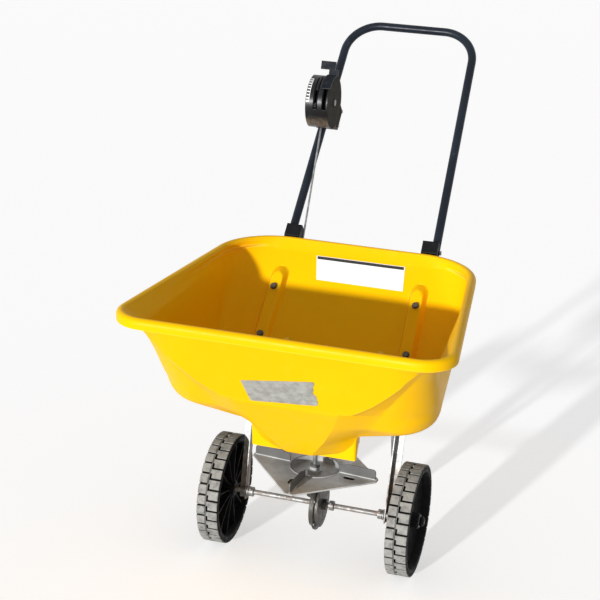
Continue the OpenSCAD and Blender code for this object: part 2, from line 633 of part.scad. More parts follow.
// Part of a ring about the drum's axis, at angles a from its top round to its front
module drum_band(x, a, r, t) {
    translate([x[0], 0, 0]) rotate([0, 90, 0]) rotate([0, 0, 180 + a[0]])
        rotate_extrude(angle = a[1] - a[0]) translate([r, 0]) square([t, x[1] - x[0]]);
}
module across(x, r) { translate([x[0], 0, 0]) rotate([0, 90, 0]) cylinder(r = r, h = x[1] - x[0]); }
module console_half(x, hollow, boss) difference() {
    union() {
        at_drum() difference() {
            across(x, drum_r);
            across(hollow, drum_r - shell);
        }
        at_drum() translate([x[0], 36, -22]) cube([x[1] - x[0], 30, 44]);
        at_drum() across(boss, 6.5);
    }
    leg_axis(-1) translate([0, 0, 150]) cylinder(r = tube_r, h = 200);
    at_drum() across([x[0] - 1, x[1] + 1], 3);
    at_drum() drum_band([lever_px[0] - 0.6, lever_px[1] + 0.6], [lever_rest - 7, 139], drum_r - 8, 20);
    at_drum() drum_band([pointer_px[0] - 0.4, pointer_px[1] + 0.4], [95, 138], drum_r - 8, 20);
    leg_frame(-1) translate(rod_dir * 230) rod_hole(4, 20);
    for (z = [-16, 16]) at_drum() translate([0, 59.5, z]) across([x[0] - 1, x[1] + 1], 2);
}
module console_left() color("dimgray") place()
    console_half([split_x, drum_x[1]], [split_x - 1, drum_x[1] - shell], [lever_hub[1] + 0.3, drum_x[1]]);
module console_right() color("dimgray") place()
    console_half([drum_x[0], split_x], [drum_x[0] + shell, split_x + 1], [drum_x[0], lever_hub[0] - 0.3]);
module console_screws() color("silver") place() for (z = [-16, 16]) at_drum() translate([0, 59.5, z]) {
    across(drum_x, 2);
    across([drum_x[1], drum_x[1] + 2], 3.6);
    translate([drum_x[0] - 2.4, 0, 0]) rotate([0, 90, 0]) cylinder(r = 3.6, h = 2.4, $fn = 6);
}
// Blade through the slot, with a cover that rides over it and a thumb tab, and an arm for the rod
module lever() color("black") place() at_drum() {
    difference() {
        union() {
            across(lever_hub, 9);
            rotate([lever_rest, 0, 0]) translate([lever_px[0], -5, 0]) cube([3, 10, drum_r + 2]);
            rotate([-half_swing - 90, 0, 0]) translate([arm_px[0], -6, 0])
                cube([arm_px[1] - arm_px[0], 12, pin_arm + 8]);
        }
        across([lever_hub[0] - 1, lever_hub[1] + 1], 3 + fit);
        rotate([-half_swing - 90, 0, 0]) translate([arm_px[0] - 1, -rod_r - 1.2, pin_arm - 6])
            cube([5, 2 * rod_r + 2.4, 10]);
    }
    drum_band([lever_px[0] - 8, lever_px[1] + 8], [lever_rest - 6, lever_rest + 64], drum_r + 0.6, 2.2);
    rotate([lever_rest, 0, 0]) {
        translate([lever_px[0] - 8, -2, drum_r + 1]) cube([19, 4, 12]);
        translate([lever_px[0] - 1, -2, drum_r + 12]) cube([29, 4, 16]);
    }
}
module lever_pin() color("silver") place() at_drum() {
    across(drum_x, 3);
    across([drum_x[1], drum_x[1] + 2], 6);
    across([drum_x[0] - 2, drum_x[0]], 6);
}
module rate_pointer() color("black") place() at_drum() rotate([pointer_rest, 0, 0]) {
    translate([pointer_px[0], -3, pointer_r - 5]) cube([3, 6, 9]);
    translate([pointer_px[0] - 1.5, -4, pointer_r - 5]) cube([6, 8, 4]);
}
rod_up = (lever_c[2] - pin_arm * sin(half_swing) - rod_low[2]) / rod_dir[2];
module control_rod() color("silver") place() leg_frame(-1) rod_path([
    rod_low + rod_dir * rod_up - [10, 0, 0], rod_low + rod_dir * rod_up,
    rod_low - rod_dir * rod_down, rod_low - rod_dir * rod_down - [11, 0, 0]], rod_r, 4);

hopper();
hopper_bolts();
outlet_guides();
guide_screws();
gate();
gate_deflector();
impeller();
impeller_shaft();
pinion();
agitator();
crown_gear();
gear_case_left();
gear_case_right();
gear_case_screws();
axle();
axle_bushings();
axle_collars();
drive_wheel();
drive_pin();
free_wheel();
wheel_washers();
wheel_caps();
strut_left();
strut_right();
strut_nuts();
stand();
stand_bolts();
stand_feet();
handle();
handle_bracket_left();
handle_bracket_right();
handle_bolts();
console_left();
console_right();
console_screws();
lever();
lever_pin();
rate_pointer();
control_rod();
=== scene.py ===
import math
import json
import bpy
import bmesh
import numpy as np
from mathutils import Matrix, Vector


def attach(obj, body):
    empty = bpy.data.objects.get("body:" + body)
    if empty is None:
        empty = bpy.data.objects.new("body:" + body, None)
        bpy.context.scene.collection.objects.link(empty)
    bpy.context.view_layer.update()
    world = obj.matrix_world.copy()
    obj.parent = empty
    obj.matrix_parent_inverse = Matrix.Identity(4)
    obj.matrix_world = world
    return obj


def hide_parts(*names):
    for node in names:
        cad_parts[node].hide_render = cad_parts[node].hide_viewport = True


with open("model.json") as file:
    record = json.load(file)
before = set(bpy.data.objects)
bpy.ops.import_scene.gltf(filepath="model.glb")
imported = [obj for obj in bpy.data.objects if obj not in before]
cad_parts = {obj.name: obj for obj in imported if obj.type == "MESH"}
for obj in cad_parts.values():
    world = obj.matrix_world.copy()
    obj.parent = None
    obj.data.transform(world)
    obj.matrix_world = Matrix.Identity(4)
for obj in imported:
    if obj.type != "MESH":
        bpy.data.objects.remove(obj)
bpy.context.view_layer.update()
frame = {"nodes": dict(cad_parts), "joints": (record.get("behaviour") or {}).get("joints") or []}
print("frame loaded")

# the axle is the place that everything is measured from, in millimetres
jointAt = {j["name"]: j for j in frame["joints"]}
axlePlace = Vector(jointAt["axle_spin"]["pos_m"])
millimetre = 0.001


def fromAxle(x, y, z):
    # x and z as in the drawing, y counted from the axle towards the rear
    return (x * millimetre, y * millimetre + axlePlace.y, z * millimetre)


# ---- materials ----

class Paint:
    # a material with its shader and the few node recipes that all finishes here use
    def __init__(self, name):
        self.material = bpy.data.materials.new(name)
        self.material.use_nodes = True
        self.nodes = self.material.node_tree.nodes
        self.links = self.material.node_tree.links
        self.shader = self.nodes["Principled BSDF"]
        self.place = self.nodes.new("ShaderNodeTexCoord").outputs["Object"]

    def node(self, kind, **inputs):
        made = self.nodes.new(kind)
        for key, value in inputs.items():
            socket = made.inputs[int(key[1:])] if key[0] == "i" and key[1:].isdigit() else made.inputs[key]
            if isinstance(value, bpy.types.NodeSocket):
                self.links.new(value, socket)
            else:
                socket.default_value = value
        return made

    def stretched(self, scale=(1, 1, 1), shift=(0, 0, 0)):
        mapping = self.node("ShaderNodeMapping", Vector=self.place)
        mapping.inputs["Scale"].default_value = scale
        mapping.inputs["Location"].default_value = shift
        return mapping.outputs["Vector"]

    def noise(self, scale, detail=5, rough=0.6, stretch=(1, 1, 1), shift=(0, 0, 0), twist=0):
        return self.node("ShaderNodeTexNoise", Vector=self.stretched(stretch, shift), Scale=scale,
                         Detail=detail, Roughness=rough, Distortion=twist).outputs["Fac"]

    def cells(self, scale, feature="F1", stretch=(1, 1, 1)):
        made = self.node("ShaderNodeTexVoronoi", Vector=self.stretched(stretch), Scale=scale)
        made.feature = feature
        return made.outputs["Distance"]

    def range(self, value, low, high, toLow=0.0, toHigh=1.0):
        made = self.nodes.new("ShaderNodeMapRange")
        made.interpolation_type = "SMOOTHSTEP"
        self.links.new(value, made.inputs["Value"])
        for key, number in (("From Min", low), ("From Max", high), ("To Min", toLow), ("To Max", toHigh)):
            made.inputs[key].default_value = number
        return made.outputs["Result"]

    def sum(self, operation, a, b):
        made = self.nodes.new("ShaderNodeMath")
        made.operation = operation
        for socket, value in zip(made.inputs, (a, b)):
            if isinstance(value, bpy.types.NodeSocket):
                self.links.new(value, socket)
            else:
                socket.default_value = value
        return made.outputs["Value"]

    def blend(self, share, a, b):
        made = self.nodes.new("ShaderNodeMix")
        made.data_type = "RGBA"
        for socket, value in ((made.inputs[0], share), (made.inputs[6], a), (made.inputs[7], b)):
            if isinstance(value, bpy.types.NodeSocket):
                self.links.new(value, socket)
            else:
                socket.default_value = value if isinstance(value, float) else (*value, 1)
        return made.outputs[2]

    def split(self):
        return self.node("ShaderNodeSeparateXYZ", Vector=self.place).outputs

    def edges(self, size=0.002):
        # painted highlight along edges: where a rounded normal leaves the true one
        bevel = self.nodes.new("ShaderNodeBevel")
        bevel.samples = 4
        bevel.inputs["Radius"].default_value = size
        geometry = self.nodes.new("ShaderNodeNewGeometry")
        made = self.nodes.new("ShaderNodeVectorMath")
        made.operation = "DOT_PRODUCT"
        self.links.new(bevel.outputs["Normal"], made.inputs[0])
        self.links.new(geometry.outputs["Normal"], made.inputs[1])
        return self.range(made.outputs["Value"], 0.99, 0.85)

    def colour(self, value):
        if isinstance(value, bpy.types.NodeSocket):
            self.links.new(value, self.shader.inputs["Base Color"])
        else:
            self.shader.inputs["Base Color"].default_value = (*value, 1)

    def roughness(self, value):
        self.links.new(value, self.shader.inputs["Roughness"])

    def metal(self, value):
        if isinstance(value, bpy.types.NodeSocket):
            self.links.new(value, self.shader.inputs["Metallic"])
        else:
            self.shader.inputs["Metallic"].default_value = value

    def bump(self, height, strength, distance, soft=0.0):
        # soft is the radius to which hard edges look rounded
        made = self.node("ShaderNodeBump", Height=height)
        if soft > 0:
            bevel = self.nodes.new("ShaderNodeBevel")
            bevel.samples = 6
            bevel.inputs["Radius"].default_value = soft
            self.links.new(bevel.outputs["Normal"], made.inputs["Normal"])
        made.inputs["Strength"].default_value = strength
        made.inputs["Distance"].default_value = distance
        self.links.new(made.outputs["Normal"], self.shader.inputs["Normal"])


wallLean = math.radians(43.4)

hopperFinish = {
    "yellow": (0.96, 0.535, 0.0),
    "paleYellow": (0.97, 0.58, 0.012),
    "deepYellow": (0.94, 0.51, 0.0),
    # the edge colour is a painted highlight along the edges
    "edge": (1.0, 0.72, 0.12),
    "grime": (0.34, 0.20, 0.03),
    "speck": (0.20, 0.11, 0.01),
}


def hopperPlastic():
    p = Paint("hopperPlastic")
    c = hopperFinish
    tone = p.range(p.noise(5, 4, 0.5), 0.35, 0.65)
    base = p.blend(tone, c["deepYellow"], c["yellow"])
    base = p.blend(p.sum("MULTIPLY", p.range(p.noise(26, 6, 0.65), 0.55, 0.8), 0.5), base, c["paleYellow"])
    # scattered specks and a dusty film low on the box
    specks = p.range(p.cells(85), 0.07, 0.03)
    few = p.sum("MULTIPLY", specks, p.range(p.noise(40, 2), 0.58, 0.68))
    base = p.blend(few, base, c["speck"])
    smear = p.sum("MULTIPLY", p.range(p.noise(14, 8, 0.7, (1, 1, 0.35)), 0.58, 0.85), 0.2)
    base = p.blend(smear, base, c["grime"])
    # painted highlight: the edges, the rolled rim among them, are lightened towards the edge colour
    base = p.blend(p.sum("MULTIPLY", p.edges(0.0025), 0.45), base, c["edge"])
    p.colour(base)
    p.roughness(p.range(p.noise(60, 6), 0.3, 0.7, 0.34, 0.5))
    p.shader.inputs["Specular IOR Level"].default_value = 0.08
    p.bump(p.noise(420, 4, 0.6), 0.12, 0.0004)
    return p.material


def handlePaint():
    p = Paint("handlePaint")
    wear = p.sum("MULTIPLY", p.range(p.noise(45, 8, 0.7, (1, 1, 1), twist=0.4), 0.62, 0.72), 0.6)
    base = p.blend(p.range(p.noise(9, 4), 0.35, 0.65), (0.005, 0.008, 0.014), (0.010, 0.015, 0.024))
    p.colour(p.blend(wear, base, (0.07, 0.07, 0.075)))
    p.roughness(p.range(p.noise(70, 6), 0.3, 0.7, 0.28, 0.48))
    p.shader.inputs["Specular IOR Level"].default_value = 0.16
    p.shader.inputs["Coat Weight"].default_value = 0.03
    p.shader.inputs["Coat Roughness"].default_value = 0.2
    p.bump(p.noise(300, 4), 0.08, 0.0003)
    return p.material


def wheelPlastic():
    p = Paint("wheelPlastic")
    x, y, z = p.split()
    fromHub = p.sum("POWER", p.sum("ADD",
                    p.sum("POWER", p.sum("SUBTRACT", y, axlePlace.y), 2),
                    p.sum("POWER", p.sum("SUBTRACT", z, axlePlace.z), 2)), 0.5)
    # the lug tops turn grey: partly dust, partly a painted highlight on the tread
    lugTops = p.range(fromHub, 0.0990, 0.1013)
    dustAndHighlight = p.sum("MULTIPLY", lugTops, p.range(p.noise(70, 9, 0.8), 0.28, 0.58, 0.35, 1.0))
    film = p.sum("MULTIPLY", p.range(p.noise(24, 6, 0.7), 0.45, 0.75), 0.4)
    base = p.blend(film, (0.004, 0.004, 0.004), (0.014, 0.013, 0.012))
    p.colour(p.blend(dustAndHighlight, base, (0.32, 0.32, 0.305)))
    p.roughness(p.range(p.noise(80, 6), 0.3, 0.7, 0.5, 0.78))
    p.shader.inputs["Specular IOR Level"].default_value = 0.12
    p.bump(p.noise(260, 8, 0.7), 0.35, 0.0008)
    return p.material


def blackPlastic(name, wearShare=0.25, gloss=0.42, shine=0.12):
    p = Paint(name)
    wear = p.sum("MULTIPLY", p.range(p.noise(60, 8, 0.7), 0.5, 0.8), wearShare)
    p.colour(p.blend(wear, (0.005, 0.005, 0.006), (0.055, 0.05, 0.042)))
    p.roughness(p.range(p.noise(90, 6), 0.3, 0.7, gloss, gloss + 0.2))
    p.shader.inputs["Specular IOR Level"].default_value = shine
    p.bump(p.noise(380, 5), 0.15, 0.0004, 0.0018)
    return p.material


def consolePlastic():
    # glossy drum with dust on its underside and dull brown discs at its sides
    p = Paint("consolePlastic")
    x, y, z = p.split()
    tilt = p.node("ShaderNodeSeparateXYZ", Vector=p.nodes.new("ShaderNodeNewGeometry").outputs["Normal"]).outputs
    wear = p.sum("MULTIPLY", p.range(p.noise(60, 8, 0.7), 0.5, 0.8), 0.3)
    base = p.blend(wear, (0.006, 0.007, 0.008), (0.06, 0.06, 0.055))
    under = p.sum("MULTIPLY", p.range(tilt[2], -0.3, -0.7), p.range(p.noise(90, 8, 0.75), 0.35, 0.6))
    base = p.blend(p.sum("MULTIPLY", under, 0.8), base, (0.16, 0.115, 0.075))
    disc = p.range(p.sum("MAXIMUM", tilt[0], p.sum("MULTIPLY", tilt[0], -1.0)), 0.6, 0.85)
    p.colour(p.blend(disc, base, p.blend(p.range(p.noise(40, 7, 0.7), 0.4, 0.7), (0.012, 0.010, 0.007), (0.034, 0.029, 0.018))))
    p.roughness(p.sum("ADD", p.range(p.noise(90, 6), 0.3, 0.7, 0.30, 0.42), p.sum("MULTIPLY", disc, 0.5)))
    p.shader.inputs["Specular IOR Level"].default_value = 0.24
    p.bump(p.noise(380, 5), 0.15, 0.0004, 0.0018)
    return p.material


def leverPlastic():
    # dark lever with a painted highlight along its edges
    p = Paint("leverPlastic")
    base = p.blend(p.range(p.noise(70, 8, 0.7), 0.4, 0.7), (0.006, 0.009, 0.014), (0.022, 0.024, 0.026))
    # painted highlight: the edges are lightened towards pale grey
    base = p.blend(p.sum("MULTIPLY", p.edges(0.0014), 0.4), base, (0.34, 0.34, 0.31))
    p.colour(base)
    p.roughness(p.range(p.noise(90, 6), 0.3, 0.7, 0.45, 0.65))
    p.shader.inputs["Specular IOR Level"].default_value = 0.08
    p.bump(p.noise(380, 5), 0.15, 0.0004, 0.0012)
    return p.material


def boltHead(name, painted):
    # bolts through the rear wall: the head is dark where it faces straight out and where it turns away, with a metal
    # ring between, and painted heads take the hopper's colour
    p = Paint(name)
    facing = p.nodes.new("ShaderNodeVectorMath")
    facing.operation = "DOT_PRODUCT"
    p.links.new(p.nodes.new("ShaderNodeNewGeometry").outputs["Normal"], facing.inputs[0])
    facing.inputs[1].default_value = (0, -math.cos(wallLean), math.sin(wallLean))
    toward = facing.outputs["Value"]
    metal = p.blend(p.range(p.noise(150, 6, 0.7), 0.35, 0.65), (0.16, 0.14, 0.11), (0.34, 0.32, 0.27))
    if painted:
        p.colour(p.blend(p.range(toward, 0.0, 0.2), metal, (0.80, 0.44, 0.005)))
    else:
        ring = p.sum("MULTIPLY", p.range(toward, 0.55, 0.75), p.range(toward, 0.965, 0.93))
        dark = p.blend(p.range(p.noise(200, 5), 0.4, 0.6), (0.05, 0.042, 0.03), (0.09, 0.075, 0.05))
        p.colour(p.blend(p.sum("MULTIPLY", ring, 0.9), dark, metal))
    p.roughness(p.range(p.noise(90, 6), 0.3, 0.7, 0.45, 0.65))
    p.metal(0.2)
    p.bump(p.noise(260, 6, 0.7), 0.2, 0.0004)
    return p.material


def impellerPlastic():
    p = Paint("impellerPlastic")
    base = p.blend(p.range(p.noise(16, 8, 0.68), 0.3, 0.7), (0.36, 0.365, 0.365), (0.60, 0.605, 0.60))
    streak = p.range(p.noise(60, 6, 0.7, (1, 0.25, 1)), 0.52, 0.72)
    base = p.blend(p.sum("MULTIPLY", streak, 0.5), base, (0.58, 0.58, 0.57))
    dirt = p.range(p.noise(34, 8, 0.75), 0.58, 0.75)
    base = p.blend(p.sum("MULTIPLY", dirt, 0.6), base, (0.10, 0.095, 0.08))
    # painted shade: the fins above the plate are darkened so that their lit faces look shaded
    p.colour(p.blend(p.sum("MULTIPLY", p.range(p.split()[2], 0.1745, 0.1765), 0.85), base, (0.05, 0.048, 0.044)))
    p.roughness(p.range(p.noise(70, 6), 0.3, 0.7, 0.34, 0.58))
    p.metal(0.2)
    p.bump(p.noise(240, 6, 0.7), 0.25, 0.0006, 0.0008)
    return p.material


def cakedDirt():
    p = Paint("cakedDirt")
    p.colour(p.blend(p.range(p.noise(90, 8, 0.75), 0.4, 0.65), (0.012, 0.011, 0.009), (0.05, 0.045, 0.035)))
    p.roughness(p.range(p.noise(70, 6), 0.3, 0.7, 0.75, 0.95))
    p.shader.inputs["Specular IOR Level"].default_value = 0.02
    p.bump(p.noise(300, 8, 0.75), 0.6, 0.0008)
    return p.material


def castGrey():
    p = Paint("caseMetal")
    base = p.blend(p.range(p.noise(30, 8, 0.7), 0.3, 0.7), (0.028, 0.025, 0.021), (0.095, 0.088, 0.078))
    scrape = p.sum("MULTIPLY", p.range(p.noise(80, 8, 0.75), 0.56, 0.72), 0.7)
    p.colour(p.blend(scrape, base, (0.34, 0.33, 0.30)))
    p.roughness(p.range(p.noise(90, 6), 0.3, 0.7, 0.35, 0.6))
    p.metal(0.45)
    p.bump(p.noise(200, 8, 0.7), 0.35, 0.0008, 0.001)
    return p.material


def zincSteel(name, rustTop=0.0, rustShare=0.0):
    # galvanised steel; rustTop is the height under which rust gathers
    p = Paint(name)
    spangle = p.node("ShaderNodeTexVoronoi", Vector=p.place, Scale=150).outputs["Color"]
    grey = p.node("ShaderNodeSeparateColor", Color=spangle).outputs[0]
    base = p.blend(p.range(grey, 0.0, 1.0), (0.20, 0.205, 0.205), (0.34, 0.345, 0.34))
    stain = p.range(p.noise(36, 8, 0.72, (1, 1, 0.4)), 0.45, 0.75)
    base = p.blend(p.sum("MULTIPLY", stain, 0.6), base, (0.10, 0.092, 0.08))
    if rustShare > 0:
        z = p.split()[2]
        low = p.range(z, rustTop, rustTop - 0.05)
        patch = p.range(p.noise(46, 9, 0.75, (1, 1, 0.45)), 0.40, 0.66)
        rust = p.sum("MULTIPLY", p.sum("MULTIPLY", low, patch), rustShare)
        tint = p.blend(p.range(p.noise(120, 6, 0.7), 0.35, 0.65), (0.12, 0.055, 0.025), (0.40, 0.22, 0.115))
        base = p.blend(rust, base, tint)
        p.metal(p.sum("SUBTRACT", 0.45, p.sum("MULTIPLY", rust, 0.4)))
        p.roughness(p.range(rust, 0.0, 1.0, 0.42, 0.85))
        p.bump(p.sum("ADD", p.noise(230, 8, 0.7), rust), 0.4, 0.0008, 0.0006)
    else:
        p.metal(0.55)
        p.roughness(p.range(p.noise(80, 6), 0.3, 0.7, 0.32, 0.5))
        p.bump(p.noise(230, 6, 0.7), 0.15, 0.0005, 0.0006)
    p.colour(base)
    return p.material


def whitePlastic():
    p = Paint("gearPlastic")
    p.colour(p.blend(p.range(p.noise(40, 6), 0.35, 0.7), (0.70, 0.68, 0.60), (0.52, 0.49, 0.40)))
    p.roughness(p.range(p.noise(90, 6), 0.3, 0.7, 0.35, 0.55))
    p.bump(p.noise(300, 5), 0.1, 0.0004)
    return p.material


yellow = hopperPlastic()
darkPaint = handlePaint()
tyre = wheelPlastic()
black = blackPlastic("blackPlastic")
matte = blackPlastic("mattePlastic", 0.1, 0.7, 0.0)
consoleBlack = consolePlastic()
leverBlack = leverPlastic()
greyPlate = impellerPlastic()
caked = cakedDirt()
caseMetal = castGrey()
zinc = zincSteel("zincSteel")
strutSteel = zincSteel("strutSteel", 0.20, 0.9)
axleSteel = zincSteel("axleSteel", 0.22, 0.5)
whiteGear = whitePlastic()
hopperBolt = boltHead("hopperBolt", False)
standBolt = boltHead("standBolt", True)


def tapeFoil():
    p = Paint("tapeFoil")
    base = p.blend(p.range(p.noise(70, 6, 0.7), 0.35, 0.65), (0.24, 0.24, 0.215), (0.36, 0.36, 0.33))
    crease = p.range(p.noise(38, 4, 0.6, (1, 1, 2.6), twist=1.5), 0.47, 0.53)
    p.colour(p.blend(p.sum("MULTIPLY", crease, 0.25), base, (0.46, 0.46, 0.43)))
    p.roughness(p.range(p.noise(60, 5), 0.3, 0.7, 0.4, 0.6))
    p.bump(p.noise(55, 6, 0.65, (1, 1, 2.2), twist=1.2), 0.55, 0.002)
    return p.material


def labelPaper(name, light, dark):
    p = Paint(name)
    scuff = p.range(p.noise(60, 8, 0.75), 0.55, 0.8)
    p.colour(p.blend(scuff, light, dark))
    p.roughness(p.range(p.noise(90, 6), 0.3, 0.7, 0.4, 0.6))
    p.bump(p.noise(70, 5, 0.6, (1, 1, 1.8)), 0.25, 0.0008)
    return p.material


tape = tapeFoil()
paper = labelPaper("labelPaper", (0.86, 0.86, 0.84), (0.66, 0.64, 0.58))
inkStrip = labelPaper("labelStrip", (0.012, 0.012, 0.013), (0.10, 0.10, 0.10))
paintWhite = labelPaper("scalePaint", (0.80, 0.82, 0.80), (0.40, 0.41, 0.40))
print("materials made")

nodeFinish = {
    "hopper": yellow, "handle": darkPaint, "drive_wheel": tyre, "free_wheel": tyre, "wheel_caps": black,
    "stand_feet": black, "outlet_guides": black, "gate_deflector": black, "handle_bracket_left": black,
    "handle_bracket_right": black, "console_left": consoleBlack, "console_right": consoleBlack,
    "lever": leverBlack, "rate_pointer": leverBlack, "gear_case_left": caseMetal, "gear_case_right": caseMetal,
    "pinion": whiteGear, "crown_gear": whiteGear, "impeller": greyPlate, "strut_left": strutSteel,
    "strut_right": strutSteel, "stand": zinc, "gate": zinc, "axle": axleSteel,
    "axle_collars": axleSteel, "axle_bushings": axleSteel, "hopper_bolts": hopperBolt, "stand_bolts": standBolt,
}
for name, part in frame["nodes"].items():
    part.data.materials.clear()
    part.data.materials.append(nodeFinish.get(name, zinc))


# ---- mesh helpers ----

def addPiece(name, points, faces, body, finish, sharp=35, stands=()):
    mesh = bpy.data.meshes.new(name)
    mesh.from_pydata([tuple(v) for v in points], [], faces)
    mesh.validate()
    form = bmesh.new()
    form.from_mesh(mesh)
    bmesh.ops.recalc_face_normals(form, faces=form.faces)
    form.to_mesh(mesh)
    form.free()
    mesh.shade_smooth()
    mesh.set_sharp_from_angle(angle=math.radians(sharp))
    piece = bpy.data.objects.new(name, mesh)
    bpy.context.scene.collection.objects.link(piece)
    mesh.materials.append(finish)
    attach(piece, body)
    if stands:
        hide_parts(*stands)
    return piece


def ringFaces(rings, around, start=0, closed=True):
    # quads between neighbouring rings of the same count
    faces = []
    last = around if closed else around - 1
    for i in range(rings - 1):
        for j in range(last):
            a = start + i * around + j
            b = start + i * around + (j + 1) % around
            faces.append((a, b, b + around, a + around))
    return faces


# ---- hopper ----

hopperShape = {
    "halfFront": [(246, 94), (286, 95), (297, 99), (336, 205), (345, 223), (354, 233), (370, 238.5), (400, 242),
                  (470, 245), (496, 250), (512, 263)],
    "halfRear": [(246, 72), (300, 76), (336, 190), (348, 211), (360, 218), (400, 224), (480, 231), (512, 234)],
    "pocketFront": [(246, -96), (290, -101), (300, -108), (345, -172), (512, -279)],
    "bellyFront": [(246, -97), (252, -100), (255, -122), (262, -129), (280, -143), (380, -218), (512, -280)],
    # half widths of the two creases: round the flat panel and round the belly
    "bellyHalf": [(246, 44), (252, 50), (255, 62), (262, 74), (278, 89), (300, 99), (327, 116), (345, 129),
                  (363, 142), (385, 157), (412, 175), (440, 195), (476, 220), (512, 248)],
    "panelHalf": [(246, 16), (262, 26), (300, 52), (345, 76), (385, 92), (386.2, 98), (388, 112), (396, 125),
                  (415, 151), (440, 177), (464, 200), (476, 208), (512, 244)],
    "panelFoot": 386, "creaseWidth": 1.4,
    "cornerFront": [(246, 4), (300, 6), (335, 38), (352, 64), (380, 76), (440, 68), (512, 50)],
    "cornerRear": [(246, 10), (300, 14), (345, 20), (400, 30), (440, 42), (512, 96)],
    "ribGrow": [(352, 0), (366, 1), (480, 1), (484, 0)], "domeFoot": 467, "domeTop": 481, "ribEdge": 8,
    "rim": [(16, 515), (9, 518.5), (4, 517.5), (3, 513), (0.4, 512.5), (0, 521), (1.6, 526.4), (5.5, 529.4),
            (9.5, 530), (13, 528.6), (15.5, 524.5)],
    "legHalf": 138.9, "legTilt": 1.487, "legY": 264.45, "legZ": 537.6, "wallGap": 24,
    "ribInside": 9, "ribDepth": 15, "ribOut": 14, "ribIn": 17.5, "rimFront": 295, "rimRear": 223,
    "rimHalfFront": 283.9, "rimHalfRear": 242, "rimCornerFront": 58, "rimCornerRear": 116.5, "wall": 3,
    "crease": 1.3,
}
leanAngle = wallLean


def measure(key, z, spread=0.0):
    # a measure by height, eased over the bends of its line
    table = hopperShape[key]
    heights = [t[0] for t in table]
    values = [t[1] for t in table]
    if spread == 0:
        return float(np.interp(z, heights, values))
    steps = np.linspace(-spread, spread, 7)
    return float(np.mean([np.interp(z + s, heights, values) for s in steps]))


def rearWall(z):
    h = hopperShape
    slope = lambda q: h["legY"] + (q - h["legZ"]) * math.tan(leanAngle) - h["wallGap"] / math.cos(leanAngle)
    def plain(q):
        return slope(q) if q > 345 else float(np.interp(q, [246, 290, 345], [30, 31, slope(345)]))
    return sum(plain(z + s) for s in (-6, -3, 0, 3, 6)) / 5 if 300 < z < 500 else plain(z)


def arcPoints(cx, cy, r, a0, a1, n):
    return [(cx + r * math.cos(a0 + (a1 - a0) * i / n), cy + r * math.sin(a0 + (a1 - a0) * i / n))
            for i in range(n + 1)]


def spaced(a, b, n):
    return [(a[0] + (b[0] - a[0]) * i / n, a[1] + (b[1] - a[1]) * i / n) for i in range(1, n)]


def halfOutline(hf, hr, yf, yb, rf, rr, yc, w1, w2, rib, rx, half, step):
    side = math.atan((hf - hr) / (yb - yf))
    turn = math.acos(max(0.0, (rx + 22 - (hr - rr)) / rr))
    flat = hf - rf

    def roundOff(x):
        return 0.0 if x <= flat else rf - math.sqrt(max(0.0, rf * rf - (x - flat) ** 2))
    points = [(w1 * f, yc + roundOff(w1 * f)) for f in (0.08, 0.25, 0.45, 0.65, 0.82, 0.97)]
    points.append((w1, yc + roundOff(w1)))
    ledge = w1 + min(hopperShape["creaseWidth"], 0.2 * (w2 - w1))
    points.append((ledge, yc + (yf - yc) * 0.02 + step + roundOff(ledge)))
    points += [(x, y + roundOff(x)) for x, y in
               spaced((ledge, yc + (yf - yc) * 0.02 + step), (w2, yf), 4) + [(w2, yf)]]
    bend = max(flat, w2 + 0.8)
    points += [(x, yf + roundOff(x)) for x, y in spaced((w2, yf), (bend, yf), 4)]
    start = -math.acos(min(1.0, (bend - flat) / rf))
    points += arcPoints(flat, yf + rf, rf, start, side, 12)
    rearArc = arcPoints(hr - rr, yb - rr, rr, side, turn, 12)
    points += spaced(points[-1], rearArc[0], 6) + rearArc
    for d in np.linspace(20, -20, 27):
        x = rx + d
        over = max(0.0, x - (hr - rr))
        # flat top and steep sides
        share = min(1.0, max(0.0, (half - abs(d)) / hopperShape["ribEdge"]))
        notch = rib * share * share * (3 - 2 * share)
        points.append((x, yb - (rr - math.sqrt(rr * rr - over * over)) - notch))
    points += spaced(points[-1], (0, yb), 5)
    return points


def mirrored(points):
    return points + [(-x, y) for x, y in reversed(points)]


def dome(z):
    # the channels end in a round top
    rise = (z - hopperShape["domeFoot"]) / (hopperShape["domeTop"] - hopperShape["domeFoot"])
    return math.sqrt(max(0.0, 1 - rise * rise)) if rise > 0 else 1.0


def wallRing(z, inset):
    h = hopperShape
    hf = measure("halfFront", z, 4) - inset
    hr = measure("halfRear", z, 4) - inset
    rr = measure("cornerRear", z, 4) - inset
    run = (z - h["legZ"]) / math.cos(leanAngle)
    rx = min(h["legHalf"] - h["ribInside"] - run * math.tan(math.radians(h["legTilt"])), hr - 0.4 * rr - 22)
    yf = measure("pocketFront", z, 4) + inset
    soft = 0 if z < 268 or abs(z - h["panelFoot"]) < 12 else 3
    crease = 0.0 if inset > 0 else h["crease"]
    yc = measure("bellyFront", z, soft) + inset + (crease if z < h["panelFoot"] else 0)
    w1 = measure("panelHalf", z, soft) - 0.3 * inset
    w2 = max(w1 + 1.5, min(measure("bellyHalf", z, soft) - 0.3 * inset, hf - (4 if z < 310 else 8)))
    return mirrored(halfOutline(
        hf, hr, yf, rearWall(z) - inset, max(2.0, measure("cornerFront", z, 4) - inset), rr,
        min(yc, yf - 0.4), w1, w2, measure("ribGrow", z, 2) * h["ribDepth"] / math.cos(leanAngle), rx,
        (h["ribIn"] if inset > 0 else h["ribOut"]) * dome(z), crease if z > h["panelFoot"] else 0))


def rimRing(inset):
    h = hopperShape
    yf = inset - h["rimFront"]
    return mirrored(halfOutline(h["rimHalfFront"] - inset, h["rimHalfRear"] - inset, yf, h["rimRear"] - inset,
                                h["rimCornerFront"] - inset, h["rimCornerRear"] - inset, yf, 208, 214, 0,
                                h["legHalf"] - h["ribInside"], h["ribOut"], 0))


